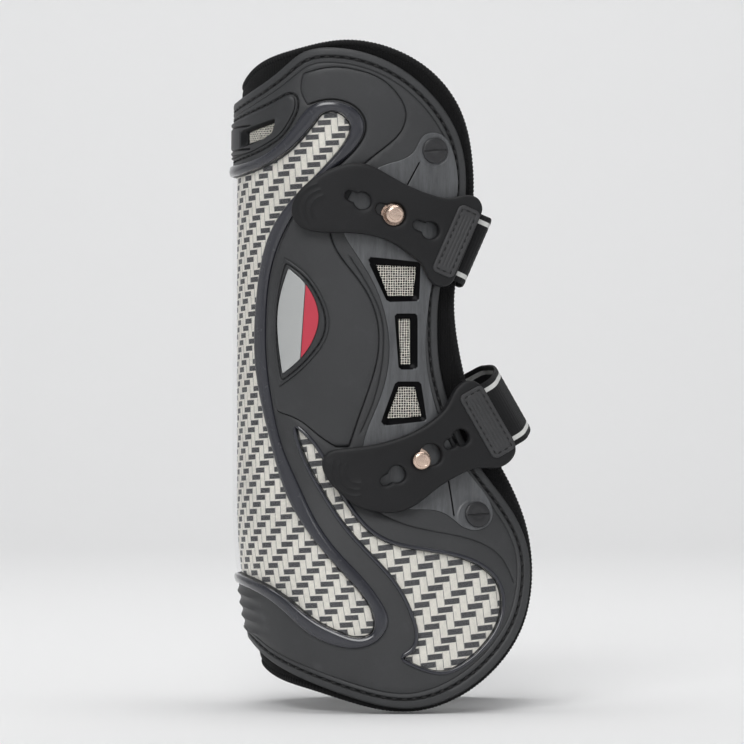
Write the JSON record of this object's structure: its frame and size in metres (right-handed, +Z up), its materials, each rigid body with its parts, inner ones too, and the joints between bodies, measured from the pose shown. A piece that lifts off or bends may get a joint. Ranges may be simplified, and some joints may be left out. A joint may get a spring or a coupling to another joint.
{
  "type": "tendon boot",
  "caption": "Open-front tendon boot for a horse's front leg: moulded shell on a neoprene liner, closed by elastic straps whose rubber tabs hook over studs.",
  "frame": {"origin": "on the axis of the channel that holds the leg, at the boot's mid height", "axes": "+Z up the leg, +X to the front of the leg, -Y to the outside of the leg, where the studs are"},
  "size_m": [0.1146, 0.0912, 0.2495],
  "materials": {
    "liner": "fine ribbed neoprene facing",
    "binding": "stitched knit binding",
    "foam": "closed-cell",
    "shell": "matte moulded",
    "film": "printed herringbone",
    "clear_cover": "clear gloss",
    "bezel": "gloss",
    "overlay": "satin moulded",
    "badge": "satin",
    "accent": "satin",
    "bridge": "smoky translucent",
    "mesh": "woven wire look",
    "stud_metal": "polished, rosy nickel",
    "screw": "black",
    "washer": "plain",
    "elastic": "woven elastic with pale edge threads",
    "strap_rubber": "satin moulded",
    "strap_patch": "fine ribbed"
  },
  "bodies": {
    "boot": {"neoprene_liner": "liner", "liner_binding": "binding", "impact_foam": "foam", "outer_shell": "shell", "strike_film": "film", "strike_cover": "clear_cover", "strike_bezel": "bezel", "lower_film_lateral": "film", "lower_cover_lateral": "clear_cover", "lower_bezel_lateral": "bezel", "overlay_panel_lateral": "overlay", "badge_plate_lateral": "badge", "badge_accent_lateral": "accent", "flex_bridge_lateral": "bridge", "vent_mesh_lateral": "mesh", "lower_film_medial": "film", "lower_cover_medial": "clear_cover", "lower_bezel_medial": "bezel", "overlay_panel_medial": "overlay", "badge_plate_medial": "badge", "badge_accent_medial": "accent", "flex_bridge_medial": "bridge", "vent_mesh_medial": "mesh", "collar_vent_frame": "overlay", "collar_vent_mesh": "mesh", "strap_studs": "stud_metal", "bridge_screws": "screw", "fastener_washers": "washer", "upper_web_loop": "elastic", "upper_anchor_patch": "strap_rubber", "lower_web_loop": "elastic", "lower_anchor_patch": "strap_rubber"},
    "upper_elastic": {"upper_web_corner": "elastic"},
    "upper_strap": {"upper_tab": "strap_rubber", "upper_tab_patch": "strap_patch", "upper_web_end": "elastic"},
    "lower_elastic": {"lower_web_corner": "elastic"},
    "lower_strap": {"lower_tab": "strap_rubber", "lower_tab_patch": "strap_patch", "lower_web_end": "elastic"}
  },
  "joints": [
    {"name": "upper_strap_stretch", "type": "slide", "parent": "boot", "child": "upper_elastic", "axis": [0.91, 0.1238, -0.3957], "range_m": [0, 0.0047]},
    {"name": "upper_strap_fold", "type": "hinge", "parent": "upper_elastic", "child": "upper_strap", "pos_m": [0.05258, -0.03102, 0.047], "axis": [0.3956, 0.1246, 0.9099], "range_deg": [0, 100]},
    {"name": "lower_strap_stretch", "type": "slide", "parent": "boot", "child": "lower_elastic", "axis": [0.8583, 0.1662, 0.4856], "range_m": [-0.0043, 0]},
    {"name": "lower_strap_fold", "type": "hinge", "parent": "lower_elastic", "child": "lower_strap", "pos_m": [0.06421, -0.0269, -0.01416], "axis": [-0.4834, -0.1905, 0.8544], "range_deg": [0, 100]}
  ]
}
